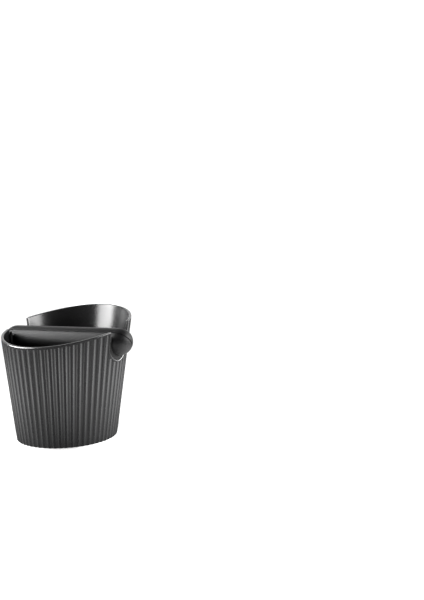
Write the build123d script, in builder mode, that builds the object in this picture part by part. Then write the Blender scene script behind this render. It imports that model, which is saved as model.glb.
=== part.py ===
from build123d import *

import os
from math import cos, radians, sin, sqrt, tan

# Espresso knock box: a ribbed, flared tub with a rubber-lined notch at each side, and a
# rubber-covered knock bar that lies across it in the two notches and lifts straight out.
#
# Millimetres. The origin is on the tub's axis, on the plane that the box stands on. +Z is up,
# X runs along the knock bar, and -Y is the low front, where the filter handle comes in.

# ---- driving dimensions -----------------------------------------------------------------

# Tub wall: a cone that leans outwards.
base_radius = 52.1  # over the rib crests, at the plane it stands on
wall_taper = 7.5  # degrees from upright
wall = 3.0  # over a rib crest, measured level
edge_radius = 0.95  # rounding of the rim and of the notch edges
blank_height = 142.0  # height of the cone before its top is cut away

# Rim, seen from the side: two parabolas, each given by the heights of its three control
# points. They stand at the centre, at half the reach and at the full reach.
rim_reach = 72.0
front_rim = (117.2, 111.6, 99.4)
back_rim = (121.5, 127.3, 139.6)

# Notches that hold the bar: a U with a round bottom, cut straight through both side walls.
notch_width = 32.0
notch_bottom = 84.2
notch_corner_radius = 1.3

# Grooves between the upright ribs. They share the wall's apex, so they widen with it: their
# sizes are given over the wall radius at the same height.
rib_count = 60
groove_half_width = 0.0384
groove_depth = 0.019
rim_band = 1.9  # plain band between the groove ends and the edge above them

# Foot, floor and the channel for the rubber ring.
foot_gap = 0.8  # the ring holds the plastic this far off the table
foot_edge_radius = 0.5
floor_underside = 3.3
floor_thickness = 3.0
floor_corner_radius = 5.0
ring_inner_radius = 44.0
ring_outer_radius = 49.0
ring_edge_radius = 0.6
ring_lip_width = 1.6
ring_lip_gap = 0.5  # the lip stops this far above the foot
tread_groove_width = 0.6
tread_groove_depth = 0.5
floor_rib_count = 6
floor_rib_width = 2.0
floor_rib_depth = 1.3
gate_radius = 6.0
gate_depth = 0.5

# Knock bar: a capsule.
bar_radius = 14.15
bar_height = 102.8
bar_end_centre = 64.1  # each round end is centred this far from the middle
parting_tilt = 45.0  # degrees above level, on the front side
parting_width = 1.1
parting_depth = 0.4  # along the sides
parting_end_depth = 1.0  # at the middle of each end
core_radius = 6.0
core_length = 120.0
core_chamfer = 0.8
cap_radius = 9.0
cap_length = 18.0
cap_depth = 8.0  # how far the rod sits in its end cap
cap_round = 4.0
turning_clearance = 0.05  # between the rubber and what is inside it

# Rubber cushions that line the notches.
seat_gap = 0.1  # between the bar and the cushion
cushion_top = 108.0
cushion_recess = 0.8  # the cushion stops this far inside the wall's outer face
cushion_flange_width = 3.0
cushion_flange_thickness = 2.0
cushion_round = 0.7

# ---- worked out from them ---------------------------------------------------------------

lean = tan(radians(wall_taper))
notch_radius = notch_width / 2
notch_centre = notch_bottom + notch_radius
floor_top = floor_underside + floor_thickness
seat_radius = bar_radius + seat_gap
cap_outer_end = core_length / 2 - cap_depth + cap_length
groove_radius = (groove_half_width**2 + groove_depth**2) / (2 * groove_depth)
bar_plane = Plane(origin=(0, 0, bar_height), x_dir=(1, 0, 0), z_dir=(0, -1, 0))
bar_axis = Axis((0, 0, bar_height), (1, 0, 0))


def wall_radius(height):
    """Radius over the rib crests at a height."""
    return base_radius + lean * height


def rim_height(y):
    """Height of the uncut rim above a place y, from the parabolas of its side view."""
    centre, middle, far = front_rim if y < 0 else back_rim
    t = abs(y) / rim_reach
    return (1 - t) ** 2 * centre + 2 * t * (1 - t) * middle + t**2 * far


def edge_height(y):
    """Height where the wall ends above a place y: the rim, or the notch's round bottom."""
    if abs(y) < notch_radius:
        return notch_centre - sqrt(notch_radius**2 - y**2)
    return rim_height(y)


def groove_centre(azimuth, height):
    """Centre of the groove's round section, at a height."""
    radius = wall_radius(height) * (1 + groove_radius - groove_depth)
    return Vector(radius * cos(radians(azimuth)), radius * sin(radians(azimuth)), height)


def groove_end(azimuth):
    """Height where the groove ends, a rim band below the lowest edge above it."""
    height = notch_bottom
    for _ in range(8):
        radius = wall_radius(height)
        y = radius * sin(radians(azimuth))
        half_width = radius * groove_half_width
        height = min(edge_height(y + step * half_width) for step in (-1, 0, 1)) - rim_band
    return height


def half_slot(length, radius):
    """Upper half of a slot along the bar, for a revolve about the bar's axis."""
    SlotCenterToCenter(length, 2 * radius)
    Rectangle(length + 3 * radius, 2 * radius, align=(Align.CENTER, Align.MAX), mode=Mode.SUBTRACT)


# ---- tub --------------------------------------------------------------------------------

# Everything above the rim and inside the notches, as one block across the tub.
with BuildPart() as open_space:
    with BuildSketch(Plane.YZ) as side_view:
        with BuildLine():
            front = Bezier(
                (-rim_reach, front_rim[2]),
                (-rim_reach / 2, front_rim[1]),
                (0, front_rim[0]),
            )
            back = Bezier(
                (0, back_rim[0]),
                (rim_reach / 2, back_rim[1]),
                (rim_reach, back_rim[2]),
            )
            Line(front @ 1, back @ 0)
            Polyline(
                back @ 1,
                (rim_reach, 2 * blank_height),
                (-rim_reach, 2 * blank_height),
                front @ 0,
            )
        make_face()
        with Locations((0, notch_centre)):
            Circle(notch_radius)
            Rectangle(notch_width, blank_height, align=(Align.CENTER, Align.MIN))
        notch_corners = [
            side_view.vertices().sort_by_distance((y, rim_height(y), 0))[0]
            for y in (-notch_radius, notch_radius)
        ]
        fillet(notch_corners, notch_corner_radius)
    extrude(amount=rim_reach, both=True)

# All the grooves, each as long as the wall above it allows.
with BuildPart() as grooves:
    for index in range(rib_count):
        azimuth = 360 * index / rib_count
        start = groove_centre(azimuth, -foot_gap)
        end = groove_centre(azimuth, groove_end(azimuth))
        with Locations(Plane(origin=start, z_dir=end - start)):
            Cone(
                bottom_radius=wall_radius(start.Z) * groove_radius,
                top_radius=wall_radius(end.Z) * groove_radius,
                height=(end - start).length,
                align=(Align.CENTER, Align.CENTER, Align.MIN),
            )

with BuildPart() as tub:
    with BuildSketch(Plane.XZ) as section:
        with BuildLine():
            Polyline(
                (0, floor_underside),
                (ring_inner_radius - ring_lip_width, floor_underside),
                (ring_inner_radius - ring_lip_width, foot_gap + ring_lip_gap),
                (ring_inner_radius, foot_gap + ring_lip_gap),
                (ring_inner_radius, floor_underside),
                (ring_outer_radius, floor_underside),
                (ring_outer_radius, foot_gap),
                (wall_radius(foot_gap), foot_gap),
                (wall_radius(blank_height), blank_height),
                (wall_radius(blank_height) - wall, blank_height),
                (wall_radius(floor_top) - wall, floor_top),
                (0, floor_top),
                close=True,
            )
        make_face()
        foot_corner = section.vertices().sort_by_distance((wall_radius(foot_gap), foot_gap, 0))[0]
        fillet(foot_corner, foot_edge_radius)
        floor_corner = section.vertices().sort_by_distance((wall_radius(floor_top) - wall, floor_top, 0))[0]
        fillet(floor_corner, floor_corner_radius)
    revolve(axis=Axis.Z)
    add(open_space.part, mode=Mode.SUBTRACT)
    # The rim and the notch edges are rounded, outside and inside.
    outer_face = tub.faces().filter_by(GeomType.CONE).sort_by(SortBy.AREA)[-1]
    inner_face = tub.faces().filter_by(GeomType.CONE).sort_by(SortBy.AREA)[-2]
    rim_edges = [
        edge
        for edge in outer_face.edges() + inner_face.edges()
        if edge.center().Z > notch_bottom - 1
    ]
    fillet(rim_edges, edge_radius)
    add(grooves.part, mode=Mode.SUBTRACT)
    # Low ribs that stiffen the floor from below, and the dimple of the moulding gate.
    with BuildSketch(Plane.XY.offset(floor_underside)):
        with PolarLocations(0, floor_rib_count):
            Rectangle(
                ring_inner_radius - ring_lip_width / 2,
                floor_rib_width,
                align=(Align.MIN, Align.CENTER),
            )
        Circle(2 * gate_radius)
    extrude(amount=-floor_rib_depth)
    with BuildSketch(Plane.XY.offset(floor_underside - floor_rib_depth)):
        Circle(gate_radius)
    extrude(amount=gate_depth, mode=Mode.SUBTRACT)

tub.part.label = "tub"

# ---- rubber ring under the foot ---------------------------------------------------------

ring_width = ring_outer_radius - ring_inner_radius
with BuildPart() as base_ring:
    with BuildSketch(Plane.XZ) as section:
        with Locations((ring_inner_radius, 0)):
            Rectangle(ring_width, floor_underside, align=(Align.MIN, Align.MIN))
        lower_corners = section.vertices().group_by(Axis.Y)[0]
        fillet(lower_corners, ring_edge_radius)
        with Locations(
            (ring_inner_radius + ring_width / 3, 0),
            (ring_outer_radius - ring_width / 3, 0),
        ):
            Rectangle(
                tread_groove_width,
                tread_groove_depth,
                align=(Align.CENTER, Align.MIN),
                mode=Mode.SUBTRACT,
            )
    revolve(axis=Axis.Z)

base_ring.part.label = "base_ring"

# ---- cushions ---------------------------------------------------------------------------


def cushion_layer(outer_radius, outside, inside):
    """A U along the notch, kept between two cones that follow the wall.

    outside and inside are how far each cone lies inside the wall's outer face.
    """
    with BuildPart() as layer:
        with BuildSketch(Plane.YZ) as section:
            with Locations((0, notch_centre)):
                Circle(outer_radius)
                Rectangle(
                    2 * outer_radius,
                    cushion_top - notch_centre,
                    align=(Align.CENTER, Align.MIN),
                )
            with Locations((0, bar_height)):
                Circle(seat_radius, mode=Mode.SUBTRACT)
                Rectangle(
                    2 * seat_radius,
                    blank_height,
                    align=(Align.CENTER, Align.MIN),
                    mode=Mode.SUBTRACT,
                )
            arm_ends = section.vertices().group_by(Axis.Y)[-1]
            fillet(arm_ends, cushion_round)
        extrude(amount=rim_reach)
        with BuildSketch(Plane.XZ):
            with BuildLine():
                Polyline(
                    (wall_radius(0) - outside, 0),
                    (wall_radius(blank_height) - outside, blank_height),
                    (wall_radius(blank_height) - inside, blank_height),
                    (wall_radius(0) - inside, 0),
                    close=True,
                )
            make_face()
        revolve(axis=Axis.Z, mode=Mode.INTERSECT)
    return layer.part


# The lining fills the notch, and its flange lies against the wall's inner face.
with BuildPart() as right_bar_cushion:
    add(cushion_layer(notch_radius, cushion_recess, wall))
    add(cushion_layer(notch_radius + cushion_flange_width, wall, wall + cushion_flange_thickness))

with BuildPart() as left_bar_cushion:
    mirror(right_bar_cushion.part, about=Plane.YZ)

right_bar_cushion.part.label = "right_bar_cushion"
left_bar_cushion.part.label = "left_bar_cushion"

# ---- knock bar --------------------------------------------------------------------------

# Steel rod down the middle.
with BuildPart() as bar_core:
    with BuildSketch(Plane.YZ.offset(-core_length / 2)):
        with Locations((0, bar_height)):
            Circle(core_radius)
    extrude(amount=core_length)
    chamfer(bar_core.edges().filter_by(GeomType.CIRCLE), core_chamfer)

bar_core.part.label = "bar_core"

# Nylon caps on the rod's ends, which centre it in the rubber.
with BuildPart() as right_core_cap:
    with BuildSketch(Plane.YZ.offset(cap_outer_end - cap_length)):
        with Locations((0, bar_height)):
            Circle(cap_radius)
    extrude(amount=cap_length)
    outer_rim = right_core_cap.edges().filter_by(GeomType.CIRCLE).sort_by(Axis.X)[-1]
    fillet(outer_rim, cap_round)
    with BuildSketch(Plane.YZ.offset(cap_outer_end - cap_length)):
        with Locations((0, bar_height)):
            Circle(core_radius)
    extrude(amount=cap_depth, mode=Mode.SUBTRACT)

with BuildPart() as left_core_cap:
    mirror(right_core_cap.part, about=Plane.YZ)

right_core_cap.part.label = "right_core_cap"
left_core_cap.part.label = "left_core_cap"

# Rubber moulded right round them.
with BuildPart() as bar_sleeve:
    with BuildSketch(bar_plane):
        half_slot(2 * bar_end_centre, bar_radius)
    revolve(axis=bar_axis)
    # The space inside, a turning clearance larger than the rod and its caps.
    with BuildSketch(bar_plane) as inside:
        half_length = cap_outer_end + turning_clearance
        Rectangle(
            2 * half_length,
            cap_radius + turning_clearance,
            align=(Align.CENTER, Align.MIN),
        )
        outer_corners = inside.vertices().group_by(Axis.Y)[-1]
        fillet(outer_corners, cap_round)
        with Locations((0, core_radius + turning_clearance)):
            Rectangle(
                2 * (cap_outer_end - cap_length - turning_clearance),
                cap_radius,
                align=(Align.CENTER, Align.MIN),
                mode=Mode.SUBTRACT,
            )
    revolve(axis=bar_axis, mode=Mode.SUBTRACT)
    # The mould's parting line, along both sides and over both ends.
    tilt = radians(parting_tilt)
    parting_plane = Plane(origin=(0, 0, bar_height), x_dir=(1, 0, 0), z_dir=(0, sin(tilt), cos(tilt)))
    with BuildSketch(parting_plane):
        SlotCenterToCenter(2 * bar_end_centre, 2 * (bar_radius + parting_depth))
        SlotCenterToCenter(
            2 * (bar_end_centre - parting_end_depth + parting_depth),
            2 * (bar_radius - parting_depth),
            mode=Mode.SUBTRACT,
        )
    extrude(amount=parting_width / 2, both=True, mode=Mode.SUBTRACT)

bar_sleeve.part.label = "bar_sleeve"

# ---- files ------------------------------------------------------------------------------

os.makedirs("parts", exist_ok=True)
for piece in (
    tub,
    base_ring,
    left_bar_cushion,
    right_bar_cushion,
    bar_core,
    left_core_cap,
    right_core_cap,
    bar_sleeve,
):
    export_step(piece.part, f"parts/{piece.part.label}.step")
    print(piece.part.label, round(piece.part.volume), piece.part.is_valid)
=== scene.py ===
from math import cos, pi, radians, sin

import bpy
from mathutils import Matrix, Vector


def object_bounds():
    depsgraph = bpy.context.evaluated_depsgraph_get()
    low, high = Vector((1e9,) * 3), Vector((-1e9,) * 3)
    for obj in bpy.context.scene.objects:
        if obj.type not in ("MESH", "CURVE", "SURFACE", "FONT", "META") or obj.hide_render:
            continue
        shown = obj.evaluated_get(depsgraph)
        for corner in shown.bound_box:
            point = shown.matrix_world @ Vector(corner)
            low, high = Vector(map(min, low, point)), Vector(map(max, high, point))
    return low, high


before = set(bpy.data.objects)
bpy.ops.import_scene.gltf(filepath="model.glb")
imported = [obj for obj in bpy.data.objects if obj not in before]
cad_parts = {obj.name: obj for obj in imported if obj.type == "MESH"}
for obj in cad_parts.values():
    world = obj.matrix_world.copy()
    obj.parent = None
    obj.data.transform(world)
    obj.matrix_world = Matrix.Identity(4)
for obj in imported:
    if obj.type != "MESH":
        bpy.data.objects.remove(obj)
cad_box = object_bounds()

# The looks of an espresso knock box: black satin plastic tub, matt rubber bar and cushions,
# on a white studio floor. Metres throughout.

# ---- camera -----------------------------------------------------------------------------

CAMERA_PLACE = (0.3562, -0.5033, 0.1662)
CAMERA_TURN = (87.921, 0.314, 20.650)  # degrees about X, Y and Z
CAMERA_LENS = 33.53  # on a 36 mm sensor

# ---- the tub's shape, as the part has it ------------------------------------------------

BASE_RADIUS = 0.0521  # over the rib crests, at the floor
WALL_LEAN = 0.1317  # growth of the radius for each metre of height
NOTCH_CENTRE = 0.1002  # height of the centre of the notches' round bottom

# ---- the tub's plastic ------------------------------------------------------------------

# Each finish is a roughness and a specular level.
CREST_FINISH = (0.6, 0.02)
GROOVE_FINISH = (0.25, 0.23)
INSIDE_FINISH = (0.21, 0.5)
EDGE_FINISH = (0.14, 1.0)
SHELL_DARK = (0.005, 0.005, 0.0052)
SHELL_LIGHT = (0.008, 0.008, 0.0083)
CREST_COLOUR = (0.0125, 0.0125, 0.0128)
# painted highlight: the rounded edges' colour, a little lighter than the shell
EDGE_HIGHLIGHT_COLOUR = (0.008, 0.008, 0.0082)

# Where a finish fades in, or out, as the two ends of its fade.
GROOVE_DEPTHS = (0.00005, 0.00025)  # metres under the crests
INSIDE_DEPTHS = (0.0013, 0.0016)  # metres under the crests
RIM_SLOPES = (0.16, 0.30)  # upward part of the surface's direction
RIM_FLAT_SLOPES = (0.90, 0.94)  # the level top of the rim gets no painted highlight
RIM_HEIGHTS = (0.080, 0.083)
NOTCH_EDGE_STARTS = (0.01604, 0.01615)  # metres from the notches' middle line
NOTCH_EDGE_ENDS = (0.0170, 0.0174)
NOTCH_SLOPES = (0.2, 0.5)

# ---- floor, backdrop and light ----------------------------------------------------------

FLOOR_SIZE = 12
FLOOR_GREY = 0.22
GLOW_LEVELS = (0.68, 0.95)  # near the object and far from it
GLOW_DISTANCES = (0.35, 1.6)
PAINTED_LIGHT_POOLS = ((-120, 0.26, 0.23, 7.0), (2, 0.28, 0.25, 9.5))  # painted pools of light glowing in the floor: azimuth, distance, reach, strength
POOL_CORE = 0.2  # share of the reach that has a pool's full strength
BACKDROP_DISTANCE = 3.0
WORLD_DIM = 0.12  # strength overhead, against 1 at the horizon
WORLD_ELEVATIONS = (4, 25)  # degrees, where it falls to that
FRONT_DIM = 0.06  # strength behind the camera, against 1 elsewhere
FRONT_ANGLES = (75, 45)  # degrees from straight behind the camera, where it falls to that
LIGHT_AIM = (0, 0, 0.07)

# ---- helpers ----------------------------------------------------------------------------


def new_material(name):
    """An empty node material with its Principled shader, ready for textures."""
    material = bpy.data.materials.new(name)
    material.use_nodes = True
    tree = material.node_tree
    tree.nodes.clear()
    output = tree.nodes.new("ShaderNodeOutputMaterial")
    shader = tree.nodes.new("ShaderNodeBsdfPrincipled")
    tree.links.new(shader.outputs["BSDF"], output.inputs["Surface"])
    return material, tree, shader


def set_inputs(node, **values):
    """Sets a node's inputs; an underscore in a name stands for a space."""
    for name, value in values.items():
        node.inputs[name.replace("_", " ")].default_value = value
    return node


def object_coordinates(tree, stretch=(1, 1, 1)):
    """Object coordinates, in metres, stretched along each axis."""
    coordinates = tree.nodes.new("ShaderNodeTexCoord")
    mapping = tree.nodes.new("ShaderNodeMapping")
    mapping.inputs["Scale"].default_value = stretch
    tree.links.new(coordinates.outputs["Object"], mapping.inputs["Vector"])
    return mapping.outputs["Vector"]


def noise(tree, vector, grain, detail=4.0):
    """Noise whose features are about grain metres across."""
    node = tree.nodes.new("ShaderNodeTexNoise")
    set_inputs(node, Scale=1 / grain, Detail=detail, Roughness=0.55)
    tree.links.new(vector, node.inputs["Vector"])
    return node.outputs["Fac"]


def remap(tree, value, low, high, start=0.3, end=0.7):
    """Maps value's range start to end onto low to high, held at both ends."""
    node = tree.nodes.new("ShaderNodeMapRange")
    set_inputs(node, From_Min=start, From_Max=end, To_Min=low, To_Max=high)
    tree.links.new(value, node.inputs["Value"])
    return node.outputs["Result"]


def fade_in(tree, value, limits):
    """0 below the limits, 1 above them."""
    return remap(tree, value, 0, 1, *limits)


def fade_out(tree, value, limits):
    """1 below the limits, 0 above them."""
    return remap(tree, value, 1, 0, *limits)


def grey_mix(tree, factor, dark, light):
    """A colour between dark and light."""
    node = tree.nodes.new("ShaderNodeMix")
    node.data_type = "RGBA"
    node.inputs["A"].default_value = (*dark, 1)
    node.inputs["B"].default_value = (*light, 1)
    tree.links.new(factor, node.inputs["Factor"])
    return node.outputs["Result"]


def coat(tree, factor, under, colour):
    """Lays a colour over another, a socket, as far as factor says."""
    node = tree.nodes.new("ShaderNodeMix")
    node.data_type = "RGBA"
    node.inputs["B"].default_value = (*colour, 1)
    tree.links.new(factor, node.inputs["Factor"])
    tree.links.new(under, node.inputs["A"])
    return node.outputs["Result"]


def bump(tree, shader, height, depth, before=None):
    """Bumps depth metres high on the shader, over an earlier bump if there is one."""
    node = tree.nodes.new("ShaderNodeBump")
    set_inputs(node, Strength=1.0, Distance=depth)
    tree.links.new(height, node.inputs["Height"])
    if before is not None:
        tree.links.new(before, node.inputs["Normal"])
    tree.links.new(node.outputs["Normal"], shader.inputs["Normal"])
    return node.outputs["Normal"]


def calculate(tree, operation, first, second):
    """One arithmetic step; each operand is a number or a socket."""
    node = tree.nodes.new("ShaderNodeMath")
    node.operation = operation
    for slot, operand in enumerate((first, second)):
        if isinstance(operand, (int, float)):
            node.inputs[slot].default_value = operand
        else:
            tree.links.new(operand, node.inputs[slot])
    return node.outputs["Value"]


def object_axes(tree):
    """The object coordinates X, Y and Z, in metres, as three sockets."""
    coordinates = tree.nodes.new("ShaderNodeTexCoord")
    split = tree.nodes.new("ShaderNodeSeparateXYZ")
    tree.links.new(coordinates.outputs["Object"], split.inputs["Vector"])
    return split.outputs["X"], split.outputs["Y"], split.outputs["Z"]


def hypotenuse(tree, first, second):
    """The length of the line whose two legs are given."""
    squares = [calculate(tree, "MULTIPLY", leg, leg) for leg in (first, second)]
    return calculate(tree, "SQRT", calculate(tree, "ADD", *squares), 0)


def product(tree, *factors):
    """All the factors, sockets, multiplied together."""
    result = factors[0]
    for factor in factors[1:]:
        result = calculate(tree, "MULTIPLY", result, factor)
    return result


def opposite(tree, factor):
    """One less the factor."""
    return calculate(tree, "SUBTRACT", 1, factor)


def blend_values(tree, factor, low, high):
    """The value between low and high, each a number or a socket."""
    node = tree.nodes.new("ShaderNodeMix")
    for name, value in (("Factor", factor), ("A", low), ("B", high)):
        if isinstance(value, (int, float)):
            node.inputs[name].default_value = value
        else:
            tree.links.new(value, node.inputs[name])
    return node.outputs["Result"]


def distance_between(tree, place, point):
    """Distance of a place, a socket, from a fixed point."""
    node = tree.nodes.new("ShaderNodeVectorMath")
    node.operation = "DISTANCE"
    tree.links.new(place, node.inputs[0])
    node.inputs[1].default_value = point
    return node.outputs["Value"]


def facing_up(tree):
    """The upward part of the surface's direction."""
    geometry = tree.nodes.new("ShaderNodeNewGeometry")
    split = tree.nodes.new("ShaderNodeSeparateXYZ")
    tree.links.new(geometry.outputs["Normal"], split.inputs["Vector"])
    return split.outputs["Z"]


def wear(node_name, material):
    """Gives a CAD node its material."""
    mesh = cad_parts[node_name].data
    mesh.materials.clear()
    mesh.materials.append(material)


# ---- materials --------------------------------------------------------------------------


def depth_under_crests(tree):
    """How far, in metres, a point of the tub lies inside the cone over the rib crests."""
    x, y, z = object_axes(tree)
    crest_radius = calculate(tree, "ADD", calculate(tree, "MULTIPLY", z, WALL_LEAN), BASE_RADIUS)
    return calculate(tree, "SUBTRACT", crest_radius, hypotenuse(tree, x, y))


def distance_from_notch(tree):
    """Distance, in metres, from the middle line of the U notches, seen from the side."""
    _, y, z = object_axes(tree)
    below = calculate(tree, "MINIMUM", calculate(tree, "SUBTRACT", z, NOTCH_CENTRE), 0)
    return hypotenuse(tree, y, below)


def highlight_edge_mask(tree, inside):
    """1 on the rounded edges of the rim and the notches, where a painted highlight goes: more shine and
    a slightly lighter colour.
    """
    slope = facing_up(tree)
    _, _, height = object_axes(tree)
    from_notch = distance_from_notch(tree)
    rim = product(
        tree,
        fade_in(tree, slope, RIM_SLOPES),
        fade_in(tree, height, RIM_HEIGHTS),
        fade_out(tree, slope, RIM_FLAT_SLOPES),
        opposite(tree, inside),
    )
    notch_lip = calculate(
        tree,
        "MAXIMUM",
        fade_in(tree, from_notch, NOTCH_EDGE_STARTS),
        fade_in(tree, slope, NOTCH_SLOPES),
    )
    notch = product(tree, notch_lip, fade_out(tree, from_notch, NOTCH_EDGE_ENDS))
    return calculate(tree, "MAXIMUM", rim, notch)


def tub_plastic():
    """Charcoal-black moulded ABS: dry on the rib crests, satin in the grooves, with glossier, slightly
    lighter rounded edges as a painted highlight.
    """
    material, tree, shader = new_material("tub_plastic")
    place = object_coordinates(tree)
    cloud = noise(tree, place, grain=0.03)
    grain = noise(tree, place, grain=0.0005, detail=2.0)
    depth = depth_under_crests(tree)
    in_groove = fade_in(tree, depth, GROOVE_DEPTHS)
    inside = fade_in(tree, depth, INSIDE_DEPTHS)
    on_crest = product(tree, opposite(tree, in_groove), opposite(tree, inside))
    edges = highlight_edge_mask(tree, inside)
    mottle = remap(tree, cloud, low=0, high=1)
    colour = grey_mix(tree, mottle, SHELL_DARK, SHELL_LIGHT)
    colour = coat(tree, on_crest, colour, CREST_COLOUR)
    # painted highlight: the rounded rim and notch edges get a slightly lighter colour
    colour = coat(tree, edges, colour, EDGE_HIGHLIGHT_COLOUR)
    tree.links.new(colour, shader.inputs["Base Color"])
    for index, name in enumerate(("Roughness", "Specular IOR Level")):
        level = blend_values(tree, in_groove, CREST_FINISH[index], GROOVE_FINISH[index])
        level = blend_values(tree, inside, level, INSIDE_FINISH[index])
        level = blend_values(tree, edges, level, EDGE_FINISH[index])
        tree.links.new(level, shader.inputs[name])
    bump(tree, shader, grain, depth=0.00003)
    return material


def bar_rubber():
    """Dark grey rubber, matt, with a powdery grain."""
    material, tree, shader = new_material("bar_rubber")
    place = object_coordinates(tree)
    cloud = noise(tree, place, grain=0.012)
    grain = noise(tree, place, grain=0.0004, detail=3.0)
    mottle = remap(tree, cloud, low=0, high=1)
    colour = grey_mix(tree, mottle, (0.003, 0.003, 0.0031), (0.005, 0.005, 0.0052))
    tree.links.new(colour, shader.inputs["Base Color"])
    tree.links.new(remap(tree, cloud, low=0.40, high=0.48), shader.inputs["Roughness"])
    set_inputs(shader, Specular_IOR_Level=0.12)
    ripple = noise(tree, place, grain=0.0022, detail=2.0)
    rippled = bump(tree, shader, ripple, depth=0.0002)
    bump(tree, shader, grain, depth=0.00004, before=rippled)
    return material


def soft_rubber():
    """Black rubber of the cushions and the ring."""
    material, tree, shader = new_material("soft_rubber")
    place = object_coordinates(tree)
    cloud = noise(tree, place, grain=0.006)
    grain = noise(tree, place, grain=0.0004, detail=3.0)
    mottle = remap(tree, cloud, low=0, high=1)
    colour = grey_mix(tree, mottle, (0.0025, 0.0025, 0.0025), (0.004, 0.004, 0.004))
    tree.links.new(colour, shader.inputs["Base Color"])
    tree.links.new(remap(tree, cloud, low=0.60, high=0.75), shader.inputs["Roughness"])
    set_inputs(shader, Specular_IOR_Level=0.12)
    bump(tree, shader, grain, depth=0.00005)
    return material


def turned_steel():
    """Bright steel with turning marks round the bar's axis."""
    material, tree, shader = new_material("turned_steel")
    rings = noise(tree, object_coordinates(tree, (1, 0.02, 0.02)), grain=0.0003, detail=2.0)
    set_inputs(shader, Metallic=1.0)
    colour = grey_mix(tree, rings, (0.50, 0.51, 0.52), (0.62, 0.63, 0.64))
    tree.links.new(colour, shader.inputs["Base Color"])
    tree.links.new(remap(tree, rings, low=0.25, high=0.40), shader.inputs["Roughness"])
    bump(tree, shader, rings, depth=0.00002)
    return material


def natural_nylon():
    """Milky nylon."""
    material, tree, shader = new_material("natural_nylon")
    place = object_coordinates(tree)
    cloud = noise(tree, place, grain=0.005)
    colour = grey_mix(tree, cloud, (0.66, 0.64, 0.58), (0.74, 0.72, 0.66))
    tree.links.new(colour, shader.inputs["Base Color"])
    tree.links.new(remap(tree, cloud, low=0.40, high=0.50), shader.inputs["Roughness"])
    bump(tree, shader, noise(tree, place, grain=0.0006), depth=0.00003)
    return material


wear("tub", tub_plastic())
wear("bar_sleeve", bar_rubber())
rubber = soft_rubber()
for part_name in ("base_ring", "left_bar_cushion", "right_bar_cushion"):
    wear(part_name, rubber)
wear("bar_core", turned_steel())
nylon = natural_nylon()
for part_name in ("left_core_cap", "right_core_cap"):
    wear(part_name, nylon)

# ---- studio -----------------------------------------------------------------------------


def glowing_floor_with_painted_pools():
    """A large white floor that glows evenly, with a painted pool of light glowing in it at each side of
    the object.
    """
    bpy.ops.mesh.primitive_plane_add(size=FLOOR_SIZE, location=(0, 0, cad_box[0][2]))
    floor = bpy.context.object
    floor.name = "floor"
    material, tree, shader = new_material("floor_white_with_painted_pools")
    set_inputs(shader, Base_Color=(FLOOR_GREY, FLOOR_GREY, FLOOR_GREY, 1))
    set_inputs(shader, Roughness=0.9, Specular_IOR_Level=0.0)
    place = object_coordinates(tree)
    glow = remap(tree, distance_between(tree, place, (0, 0, 0)), *GLOW_LEVELS, *GLOW_DISTANCES)
    # painted pools of light: extra glow in the floor at each side, for the tub's grooves and edges to
    # reflect
    for azimuth, distance, reach, strength in PAINTED_LIGHT_POOLS:
        centre = (distance * cos(radians(azimuth)), distance * sin(radians(azimuth)), 0)
        away = distance_between(tree, place, centre)
        pool = remap(tree, away, strength, 0, POOL_CORE * reach, reach)
        glow = calculate(tree, "ADD", pool, glow)
    set_inputs(shader, Emission_Color=(1, 1, 1, 1))
    tree.links.new(glow, shader.inputs["Emission Strength"])
    floor.data.materials.append(material)


def backdrop():
    """A lit white wall far behind the object, across the camera's view."""
    direction = Vector((-sin(radians(CAMERA_TURN[2])), cos(radians(CAMERA_TURN[2])), 0))
    bpy.ops.mesh.primitive_plane_add(size=1, location=direction * BACKDROP_DISTANCE)
    wall = bpy.context.object
    wall.name = "backdrop"
    wall.scale = (2 * BACKDROP_DISTANCE, 2 * BACKDROP_DISTANCE, 1)
    wall.rotation_euler = (radians(90), 0, radians(CAMERA_TURN[2]))
    material, tree, shader = new_material("backdrop_white")
    set_inputs(shader, Base_Color=(0.8, 0.8, 0.8, 1), Roughness=1.0)
    set_inputs(shader, Emission_Color=(1, 1, 1, 1), Emission_Strength=1.0)
    wall.data.materials.append(material)


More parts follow.
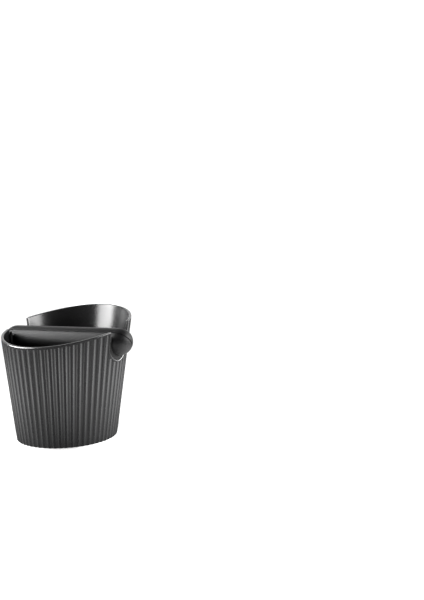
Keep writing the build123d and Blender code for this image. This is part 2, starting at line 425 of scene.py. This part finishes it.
def softbox(name, azimuth, distance, height, size, radiance):
    """A rectangular light of size (across, up) aimed at the object, azimuth degrees from +X."""
    place = Vector((distance * cos(radians(azimuth)), distance * sin(radians(azimuth)), height))
    aim = Vector(LIGHT_AIM)
    data = bpy.data.lights.new(name, "AREA")
    data.shape = "RECTANGLE"
    data.size, data.size_y = size
    data.energy = radiance * pi * size[0] * size[1]
    light = bpy.data.objects.new(name, data)
    light.location = place
    light.rotation_mode = "QUATERNION"
    light.rotation_quaternion = (aim - place).to_track_quat("-Z", "Y")
    bpy.context.scene.collection.objects.link(light)


def studio_world():
    """Pale near the horizon, dimmer above it, and dim in front of the object, where a studio is dark."""
    world = bpy.data.worlds.new("studio")
    world.use_nodes = True
    tree = world.node_tree
    coordinates = tree.nodes.new("ShaderNodeTexCoord")
    split = tree.nodes.new("ShaderNodeSeparateXYZ")
    tree.links.new(coordinates.outputs["Generated"], split.inputs["Vector"])
    low_and_high = [sin(radians(angle)) for angle in WORLD_ELEVATIONS]
    pale = remap(tree, split.outputs["Z"], 1.0, WORLD_DIM, *low_and_high)
    front_x, front_y = sin(radians(CAMERA_TURN[2])), -cos(radians(CAMERA_TURN[2]))
    toward_front = calculate(
        tree,
        "ADD",
        calculate(tree, "MULTIPLY", split.outputs["X"], front_x),
        calculate(tree, "MULTIPLY", split.outputs["Y"], front_y),
    )
    side_and_front = [cos(radians(angle)) for angle in FRONT_ANGLES]
    shade = remap(tree, toward_front, 1.0, FRONT_DIM, *side_and_front)
    background = tree.nodes["Background"]
    set_inputs(background, Color=(1, 1, 1, 1))
    tree.links.new(calculate(tree, "MULTIPLY", pale, shade), background.inputs["Strength"])
    bpy.context.scene.world = world


def place_camera():
    """The camera, in front of the object and to its right, a little above the rim."""
    data = bpy.data.cameras.new("camera")
    data.lens = CAMERA_LENS
    camera = bpy.data.objects.new("camera", data)
    camera.location = CAMERA_PLACE
    camera.rotation_euler = [radians(angle) for angle in CAMERA_TURN]
    bpy.context.scene.collection.objects.link(camera)
    bpy.context.scene.camera = camera


glowing_floor_with_painted_pools()
backdrop()
studio_world()
softbox("left_softbox", azimuth=-139, distance=1.0, height=0.30, size=(0.66, 0.35), radiance=17)
softbox("right_softbox", azimuth=27, distance=1.1, height=0.52, size=(1.35, 0.85), radiance=13)
softbox("high_left_softbox", azimuth=-156, distance=0.65, height=0.54, size=(0.38, 0.52), radiance=30)
place_camera()
bpy.context.scene.view_settings.view_transform = "Standard"
